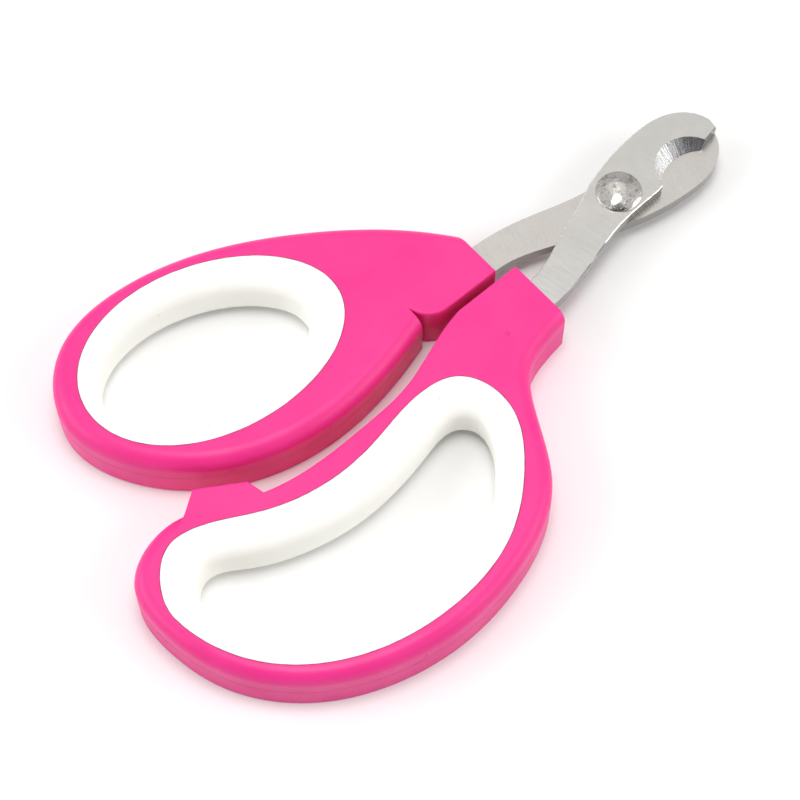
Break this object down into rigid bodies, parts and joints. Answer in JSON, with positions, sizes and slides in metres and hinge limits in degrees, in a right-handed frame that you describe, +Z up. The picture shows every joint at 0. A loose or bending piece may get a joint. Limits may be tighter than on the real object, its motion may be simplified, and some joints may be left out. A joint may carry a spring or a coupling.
{
  "type": "scissor nail clipper",
  "caption": "Small scissor nail clipper: two notched steel blades on a domed rivet, pink handles with soft white finger loops.",
  "frame": {"origin": "middle of the outline seen from above, on the surface it lies on", "axes": "+Z up out of the flat side, +X towards the jaw tips, +Y towards the thumb handle; the pivot axis is vertical at x 0.0409 m, y 0.0007 m"},
  "size_m": [0.1238, 0.078, 0.009],
  "materials": {
    "blade_steel": "fine brushed stainless steel",
    "handle_plastic": "satin moulded pink plastic",
    "liner_rubber": "soft warm-white rubber",
    "rivet_steel": "polished",
    "washer_steel": "plain"
  },
  "bodies": {
    "thumb_side": {"rear_blade": "blade_steel", "thumb_handle": "handle_plastic", "thumb_grip_liner": "liner_rubber", "pivot_rivet": "rivet_steel", "rivet_washer": "washer_steel"},
    "finger_side": {"front_blade": "blade_steel", "finger_handle": "handle_plastic", "finger_grip_liner": "liner_rubber"}
  },
  "joints": [
    {"name": "blade_pivot", "type": "hinge", "parent": "thumb_side", "child": "finger_side", "pos_m": [0.04085, 0.0007, 0.0045], "axis": [0, 0, 1], "range_deg": [-2.3, 50]}
  ]
}
